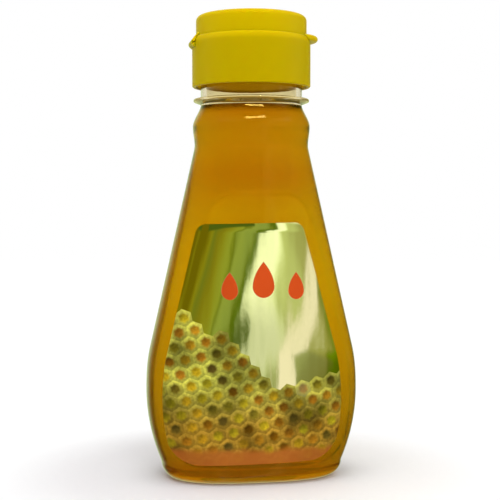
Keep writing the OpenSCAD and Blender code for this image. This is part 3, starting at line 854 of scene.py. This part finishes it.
def honeyLook():
    finish = Finish("honey")
    cloud = finish.noise(**honey["cloud"])
    x, y, z = finish.axes()
    # the ramp holds the honey's amber and painted shade, darker at the foot
    stops = [(height / honey["tall"], colour) for height, colour in honey["colourAndShadeByHeight"]]
    place = z / honey["tall"] + cloud * honey["cloudShift"] - honey["cloudShift"] / 2
    colourAndShadeByHeight = finish.node("ValToRGB", {"stops": stops}, {0: place})
    # painted shade above the panel's round top and a painted highlight below it, on the front alone
    archShade = honey["archShade"]
    across = (abs(x) - archShade["half"]).most(0.0)
    rise = (z - (panelTop - archShade["radius"])).most(0.0)
    outside = lengthOf(across, rise).stepped(archShade["radius"] - archShade["soft"], archShade["radius"] + archShade["soft"])
    shade = finish.blend(outside, archShade["below"], archShade["above"])
    fadeFrom, fadeTo = (label["top"] + height for height in archShade["fadeIn"])
    nearby = y.stepped(*archShade["front"], 1.0, 0.0) * z.stepped(fadeFrom, fadeTo)
    nearby = nearby * z.stepped(*archShade["fadeUp"], 1.0, 0.0)
    colourAndShadeByHeight = colourAndShadeByHeight * finish.blend(nearby, white, shade)
    # painted shade darkens the honey's top under the support ring
    meniscusShade = z.stepped(*honey["meniscusShadeFrom"], 1.0, honey["meniscusShadeLow"])
    return finish.finished({
        "Base Color": colourAndShadeByHeight * (meniscusShade * cloud.aroundOne(honey["cloudShade"])),
        # painted amber glow lightens the honey's foot
        "Emission Color": finish.blend(z.stepped(*honey["footHeights"]), honey["footGlow"], black),
        "Emission Strength": 1.0, "Roughness": cloud.stepped(*honey["hazeRange"]),
        "Transmission Weight": honey["clear"], "IOR": honey["ior"], "Specular Tint": black,
        "Normal": finish.bump(finish.noise(**honey["wave"]) * honey["waveHigh"])}, honey["volume"])


# drops are (middle, height of the round's middle, radius, height of the tip over it)
foil = {
    "bare": (0.84, 0.87, 0.39), "shine": (0.8, 0.65, 0.15), "inkMetal": 0.35,
    "polish": (0.05, 0.34), "haze": 0.8, "hazeShare": 0.03,
    "ripple": {"scale": 0.10, "stretch": (1, 1, 0.12), "detail": 2.0}, "rippleHigh": 0.30,
    "crinkle": {"scale": 0.45, "stretch": (1, 1, 0.3)}, "crinkleHigh": 0.012,
    "curl": (0.022, 0.010), "curlFrom": 85.3, "curlHalf": 18.0,
    "band": (0.42, 0.115, 0.018), "bandTop": 12.5, "bandSoft": 1.5, "bandCover": 0.9,
    "bandWaves": 0.15, "bandRagged": 3.0,
    "glued": (0.70, 0.69, 0.62), "daylight": (0.40, 0.30, 0.16), "gluedFrom": (0.2, 0.4),
    "drop": (0.56, 0.06, 0.01), "dropFull": 0.9, "dropSoft": 0.24,
    "drops": [(-10.5, 66.0, 2.9, 6.4), (0.8, 67.5, 3.8, 8.4), (12.0, 66.0, 2.9, 6.4)],
}
comb = {
    "cell": 5.2, "tilt": 12.0, "apart": 100.0, "hollow": (0.24, 0.46), "ragged": 0.6, "raggedShare": 0.12,
    "pits": [(0.0, (0.13, 0.05, 0.0)), (0.25, (0.42, 0.17, 0.01)), (0.5, (0.50, 0.32, 0.01)),
             (0.75, (0.36, 0.30, 0.01)), (1.0, (0.10, 0.06, 0.01))],
    "pitShade": (0.45, 1.35), "pitSide": 0.4, "waxShade": (0.72, 1.3), "waxSide": -0.3,
    "highWax": (0.50, 0.48, 0.07), "lowWax": (0.36, 0.20, 0.02), "amberFrom": (38.0, 18.0),
    "patches": 0.07, "patchShade": (0.35, 0.66, 0.36, 1.1),
    "grain": 1.1, "grainShade": (0.3, 0.7, 0.8, 1.2),
    "valley": 32.5, "left": (11.0, -23.0), "leftRise": 24.0, "right": (12.0, 26.0), "rightRise": 5.0,
    "unrest": 7.0, "unrestNoise": {"Scale": 0.11, "Detail": 2.0}, "edge": 0.2,
}


def combPrint(finish, x, z):
    # the print's colour, and a mask of where it is: whole cells under a line that dips in the middle
    turn = math.radians(comb["tilt"])
    cosine, sine = math.cos(turn), math.sin(turn)
    apart = comb["apart"]  # the cells are counted from a far corner, so that no count is negative
    u = (x * cosine + z * sine) / comb["cell"] + apart
    v = (z * cosine - x * sine) / comb["cell"] + apart
    tall = math.sqrt(3)
    # two lattices of cells, of which the nearer counts
    au, av = u % 1.0 - 0.5, v % tall - tall / 2
    bu, bv = (u + 0.5) % 1.0 - 0.5, (v + tall / 2) % tall - tall / 2
    second = (au * au + av * av) > (bu * bu + bv * bv)
    cu, cv = au + (bu - au) * second, av + (bv - av) * second
    middleU, middleV = (u - cu - apart) * comb["cell"], (v - cv - apart) * comb["cell"]
    cellX = middleU * cosine - middleV * sine
    cellZ = middleU * sine + middleV * cosine
    rim = (abs(cu) * 0.5 + abs(cv) * (tall / 2)).most(abs(cu))
    centre = finish.node("CombineXYZ", None, {0: cellX, 1: cellZ, 2: 0.0})
    chance = finish.node("TexWhiteNoise", {"noise_dimensions": "2D"}, {"Vector": centre})
    unrest = finish.node("TexNoise", None, {"Vector": centre, **comb["unrestNoise"]})
    pit = finish.node("ValToRGB", {"stops": comb["pits"]}, {0: chance})
    ragged = finish.noise(comb["ragged"]) * comb["raggedShare"]
    hollow = (rim + ragged).stepped(*comb["hollow"], 1.0, 0.0)
    shade = (cv * -1.0 + cu * comb["pitSide"]).stepped(-0.5, 0.5, *comb["pitShade"])
    light = (cv + cu * comb["waxSide"]).stepped(-0.5, 0.5, *comb["waxShade"])
    wax = finish.blend(z.stepped(*comb["amberFrom"]), comb["highWax"], comb["lowWax"])
    patches = finish.noise(comb["patches"]).stepped(*comb["patchShade"])
    grain = finish.noise(comb["grain"]).stepped(*comb["grainShade"])
    cells = finish.blend(hollow, wax * light, pit * shade) * patches * grain
    line = (unrest * comb["unrest"] + cellX.stepped(*comb["left"], 0.0, comb["leftRise"])
            + cellX.stepped(*comb["right"], 0.0, comb["rightRise"]) + (comb["valley"] - comb["unrest"] / 2))
    return cells, (line - cellZ).stepped(-comb["edge"], comb["edge"])


def dropMask(x, z, middle, low, radius, rise):
    # one inside a drop: a round foot under a tapered tip
    across, up = x - middle, z - low
    t = (up / rise).most(0.0).least(1.0)
    below = up.least(0.0)
    roundHalf = (radius**2 - below * below).most(0.0).called("SQRT")
    half = roundHalf * (1.0 - t) * (t * foil["dropFull"] + 1.0)
    return (half - abs(across)).stepped(0.0, foil["dropSoft"])


def foilLook():
    # metallised film, with a comb printed at the foot and three drops in the upper half
    finish = Finish("label foil")
    x, _, z = finish.axes()
    cells, printed = combPrint(finish, x, z)
    colour = finish.blend(printed, foil["bare"], cells)
    bandTop, soft, ragged = foil["bandTop"], foil["bandSoft"], foil["bandRagged"]
    edge = z + finish.noise(foil["bandWaves"]) * ragged - ragged / 2
    band = edge.stepped(bandTop + soft, bandTop - soft)
    colour = finish.blend(band * foil["bandCover"], colour, foil["band"])
    left, middle, right = (dropMask(x, z, *drop) for drop in foil["drops"])
    drops = left.most(middle).most(right)
    colour = finish.blend(drops, colour, foil["drop"])
    # at its top edge the film bends back a little, more so at the right
    above = (z - foil["curlFrom"]).most(0.0)
    curl = (x / foil["curlHalf"]).most(-1.0).least(1.0) * foil["curl"][1] + foil["curl"][0]
    ripple = finish.noise(**foil["ripple"]) * foil["rippleHigh"]
    crinkle = finish.noise(**foil["crinkle"]) * foil["crinkleHigh"]
    haze = finish.noise(foil["haze"]) * foil["hazeShare"]
    ink = printed.most(band).most(drops)
    # the side that is glued down is plain, and a painted glow on it stands for the light that the honey
    # lets through
    glued = finish.axes(finish.node("TexCoord", out=1))[1].stepped(*foil["gluedFrom"])
    return finish.finished({
        "Base Color": finish.blend(glued, colour, foil["glued"]),
        "Metallic": ink.stepped(0.0, 1.0, 1.0, foil["inkMetal"]) * (1 - glued),
        "Emission Color": finish.blend(glued, black, foil["daylight"]), "Emission Strength": 1.0,
        "Roughness": ink.stepped(0.0, 1.0, *foil["polish"]) + haze,
        "Specular Tint": foil["shine"], "Normal": finish.bump(ripple + crinkle - above * above * curl)})


bottle = makePiece("bottle_shell", bottleShell(), clearPlastic(), "bottle")
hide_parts("bottle")
fill = makePiece("honey_fill", honeyFill(), honeyLook(), "bottle")
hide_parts("honey")
sheet = makePiece("label_sheet", labelSheet(), foilLook(), "bottle")
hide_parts("front_label")
print("bottle, honey and label made")

# The closure

cap = {
    "outer": 41.1, "wall": 1.5, "edge": 0.35, "entry": 0.7, "deck": 1.2,
    "ledge": 19.35, "ledgeRise": 1.4, "shoulder": 3.4,
    "snapOuter": 17.65, "snapThick": 1.1, "snapHeight": 2.2,
    "bead": 0.12, "beadHalf": 0.3, "beadShare": 0.6,
    "spoutFoot": 6.5, "spoutTip": 4.2, "spoutRise": 5.4, "spoutWall": 1.2, "orifice": 2.8, "land": 1.6,
}
lid = {
    "outer": 19.2, "wall": 1.2, "round": 1.8, "pin": 2.55, "pinTip": 1.95, "pinDeep": 2.0, "gap": 0.1,
    "gate": (2.4, 2.2), "gateDeep": 0.18, "tabR": 10.75, "tabOut": 2.8, "tabThick": 2.0, "tabDrop": 1.3,
}
hinge = {
    "out": 0.9, "drop": 2.2, "film": 0.35, "free": 0.26, "filmWide": 2.4, "filmApart": 4.2, "waist": 0.06,
    "strapWide": 3.0, "strap": 0.4, "sunk": 0.3, "rows": 17, "lug": 1.4, "lugOver": 1.0, "lugRoot": 17.5,
    "lipLow": 0.35, "lipTop": 0.3, "round": 0.35,
}
capR = cap["outer"] / 2
capFoot = footOf("closure_base")
deckFoot = topOf("seal_washer")
deckTop = deckFoot + cap["deck"]
ledge = deckTop + cap["ledgeRise"]
spoutTop = deckTop + cap["spoutRise"]
lidTop = topOf("lid")
hingeX, hingeZ = -capR - hinge["out"], ledge - hinge["drop"]
freeFoot, freeTop = hingeZ - hinge["free"] / 2, hingeZ + hinge["free"] / 2
lugWide = hinge["filmApart"] + 2 * hinge["filmWide"]


def capShoulder(gap, steps=12):
    radii = capR - cap["ledge"], cap["shoulder"] + gap
    return arc((cap["ledge"] + gap, ledge - cap["shoulder"]), radii, 0, 90, steps)


def capShell():
    bore = capR - cap["wall"]
    entry = capFoot + cap["entry"]
    snapOuter = cap["snapOuter"]
    snapInner = snapOuter - cap["snapThick"]
    snapTop = ledge + cap["snapHeight"]
    bead = ledge + cap["beadShare"] * cap["snapHeight"]
    outline = rounded([
        (bore + cap["edge"], capFoot, 0.2),
        (capR - cap["edge"], capFoot, 0.2),
        (capR, capFoot + cap["edge"], 0.25),
        *capShoulder(0),
        (snapOuter, ledge, 0.2),
        (snapOuter, bead - cap["beadHalf"], 0.1),
        (snapOuter + cap["bead"], bead, 0.15),
        (snapOuter, bead + cap["beadHalf"], 0.1),
        (snapOuter, snapTop, 0.35),
        (snapInner, snapTop, 0.35),
        (snapInner, deckTop, 0.4),
        (cap["spoutFoot"], deckTop, 0.9),
        (cap["spoutTip"], spoutTop, 0.7),
        (cap["orifice"], spoutTop, 0.25),
        (cap["orifice"], spoutTop - cap["land"], 0.4),
        (cap["spoutFoot"] - cap["spoutWall"], deckFoot, 0.5),
        (bore, deckFoot, 0.3),
        (bore, entry, 0.2),
    ])
    # the cap's ridge runs under the neck's, with the thread's play between their flanks
    meet = thread["root"] - (thread["root"] - thread["crest"]) / 2 * (bore - neckR) / thread["height"]
    start = threadFoot - meet - thread["play"]

    def capRidge(turns, z, r):
        return -ridge(turns, z, start) if abs(r - bore) < tiny else 0 * turns

    skirt = revolved(refined(outline, thread["capRowStep"], entry, deckFoot), swell=capRidge)
    lugFoot = freeFoot - hinge["lug"]
    lug = extruded([
        (hingeX + hinge["out"], lugFoot), (hingeX, freeFoot - hinge["lipLow"]), (hingeX, freeFoot),
        (-hinge["lugRoot"], freeFoot), (-hinge["lugRoot"], lugFoot)], lugWide)
    inside = capR - cap["wall"] / 2
    core = revolved([(0, capFoot), (inside, capFoot), (inside, lidTop), (0, lidTop)], columns=96)
    return joined(skirt, cutBy(lug, [core], hinge["round"]))


def lidShell():
    bore = lid["outer"] - lid["wall"]
    roof = lidTop - lid["wall"]
    gateFoot = lidTop - lid["gateDeep"]
    pinFoot = spoutTop - lid["pinDeep"]
    hood = revolved(rounded([
        (bore, ledge, 0.15),
        (lid["outer"], ledge, 0.2),
        *arc((lid["outer"] - lid["round"], lidTop - lid["round"]), (lid["round"],) * 2, 0, 90, 10),
        (lid["gate"][0], lidTop, 0.1),
        (lid["gate"][1], gateFoot, 0.1),
        (0, gateFoot, 0),
        (0, pinFoot, 0),
        (lid["pinTip"], pinFoot, 0.4),
        (lid["pin"], spoutTop, 0.3),
        (lid["pin"], roof, 0.6),
        (bore, roof, 0.7),
    ]))
    shoulder = [point[:2] for point in capShoulder(lid["gap"])]
    clearance = [(0, capFoot), (capR + lid["gap"], capFoot), *shoulder, (0, ledge + lid["gap"])]
    inside = lid["outer"] - lid["wall"] / 2
    hollow = [(0, capFoot), (inside, capFoot), (inside, lidTop), (0, lidTop)]
    cutters = [revolved(clearance), revolved(hollow)]
    # the thumb tab is a round-edged disc that only shows beside the lid
    rim = lid["tabThick"] / 2
    tabFoot = ledge - lid["tabDrop"]
    edge = [point[:2] for point in arc((lid["tabR"] - rim, tabFoot + rim), (rim, rim), -90, 90, 12)]
    points, faces = revolved([(0, tabFoot), *edge, (0, tabFoot + lid["tabThick"])])
    tab = cutBy((points + (capR + lid["tabOut"] - lid["tabR"], 0, 0), faces), cutters, 0)
    lugTop = freeTop + hinge["drop"] - hinge["free"] / 2 + hinge["lugOver"]
    lug = extruded([
        (hingeX, freeTop), (hingeX, freeTop + hinge["lipTop"]),
        (hingeX + hinge["out"], (freeTop + lugTop) / 2), (-lid["outer"], lugTop),
        (-hinge["lugRoot"], lugTop), (-hinge["lugRoot"], freeTop)], lugWide)
    return joined(hood, tab, cutBy(lug, cutters, hinge["round"]))


def strips(spans, thick):
    # thin hinge strips, each across (middle, width), with their ends sunk in the lugs
    shells = []
    for middle, wide in spans:
        rows = []
        left, right = middle - wide / 2, middle + wide / 2
        for z in np.linspace(freeFoot - hinge["sunk"], freeTop + hinge["sunk"], hinge["rows"]):
            waist = hinge["waist"] * max(0, 1 - ((z - hingeZ) / (hinge["free"] / 2))**2)
            x0, x1 = hingeX + waist, hingeX + thick - waist / 2
            rows.append([(x0, left, z), (x1, left, z), (x1, right, z), (x0, right, z)])
        ends = [(0, 1, 2, 3), tuple(4 * (len(rows) - 1) + i for i in (3, 2, 1, 0))]
        shells.append((np.vstack(rows), gridFaces(len(rows), 4) + ends))
    return joined(*shells)


# the shoulder and the lid are painted paler than the skirt, as painted light from above, and a painted glow
# on the skirt's inner side stands for daylight that comes through the skirt
yellow = {
    "skirt": (0.375, 0.279, 0.0), "lid": (0.448, 0.325, 0.0), "lidFrom": (-2.6, -1.2),
    "flow": {"scale": 0.06, "stretch": (1, 1, 0.5), "detail": 2.0}, "flowShare": 0.08,
    "grain": {"scale": 3.0, "detail": 2.0}, "grainHigh": 0.004, "dents": {"scale": 0.25}, "dentsHigh": 0.02,
    "insideEdge": (19.15, 19.25), "insideSoft": 0.7, "insideGlow": (0.30, 0.17, 0.0),
    "polish": 0.8, "polishRange": (0.3, 0.7, 0.34, 0.44), "shine": (1.0, 0.8, 0.05), "specular": 0.15,
    "ior": 1.49,
    "deep": {"Subsurface Weight": 0.8, "Subsurface Radius": (1.0, 0.6, 0.1), "Subsurface Scale": 0.003},
}


def yellowPlastic():
    finish = Finish("yellow plastic")
    flow = finish.noise(**yellow["flow"])
    grain = finish.noise(**yellow["grain"]) * yellow["grainHigh"]
    dents = finish.noise(**yellow["dents"]) * yellow["dentsHigh"]
    x, y, z = finish.axes()
    soft = yellow["insideSoft"]
    skirtLow = z.between(capFoot + soft, deckFoot, soft)
    # painted glow on the skirt's inner side
    inside = lengthOf(x, y).stepped(*yellow["insideEdge"], 1.0, 0.0) * skirtLow
    # painted light: the shoulder and the lid are paler than the skirt
    lidFrom, lidFull = (ledge + height for height in yellow["lidFrom"])
    colour = finish.blend(z.stepped(lidFrom, lidFull), yellow["skirt"], yellow["lid"])
    return finish.finished({
        "Base Color": colour * flow.aroundOne(yellow["flowShare"]),
        "Emission Color": finish.blend(inside, black, yellow["insideGlow"]), "Emission Strength": 1.0,
        "Roughness": finish.noise(yellow["polish"]).stepped(*yellow["polishRange"]), "IOR": yellow["ior"],
        "Specular Tint": yellow["shine"], "Specular IOR Level": yellow["specular"], **yellow["deep"],
        "Normal": finish.bump(grain + dents)})


yellowFinish = yellowPlastic()
base = makePiece("cap_shell", capShell(), yellowFinish, "cap")
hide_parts("closure_base")
cover = makePiece("flip_lid", lidShell(), yellowFinish, "lid")
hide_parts("lid")
filmY = (hinge["filmApart"] + hinge["filmWide"]) / 2
filmSpans = [(-filmY, hinge["filmWide"]), (filmY, hinge["filmWide"])]
films = makePiece("hinge_strips", strips(filmSpans, hinge["film"]), yellowFinish)
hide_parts("hinge_films")
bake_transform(films)
strapSpans = [(0, hinge["strapWide"])]
strap = makePiece("spring_strap", strips(strapSpans, hinge["strap"]), yellowFinish)
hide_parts("snap_strap")
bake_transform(strap)
print("closure made")

# Seals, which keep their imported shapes

seals = {
    "foil": ((0.80, 0.81, 0.82), (0.70, 0.71, 0.72)), "foilCloud": 0.2,
    "polish": 0.8, "polishRange": (0.2, 0.8, 0.22, 0.4),
    "crinkle": {"scale": 0.5, "detail": 4.0}, "crinkleHigh": 0.08,
    "foam": ((0.86, 0.86, 0.84), (0.78, 0.78, 0.75)), "foamCloud": 1.0, "foamRoughness": 0.7,
    "cells": 3.0, "cellsHigh": 0.08,
}


def sealFoil():
    finish = Finish("seal foil")
    return finish.finished({
        "Base Color": finish.blend(finish.noise(seals["foilCloud"]), *seals["foil"]), "Metallic": 1.0,
        "Roughness": finish.noise(seals["polish"]).stepped(*seals["polishRange"]),
        "Normal": finish.bump(finish.noise(**seals["crinkle"]) * seals["crinkleHigh"])})


def whiteFoam():
    finish = Finish("white foam")
    cells = finish.node("TexVoronoi", None, {"Vector": finish.point(), "Scale": seals["cells"]})
    return finish.finished({
        "Base Color": finish.blend(finish.noise(seals["foamCloud"]), *seals["foam"]),
        "Roughness": seals["foamRoughness"],
        "Normal": finish.bump(cells * seals["cellsHigh"])})


for node, finish in (("foil_seal", sealFoil()), ("seal_washer", whiteFoam())):
    nodes[node].data.materials.clear()
    nodes[node].data.materials.append(finish)
print("seals finished")
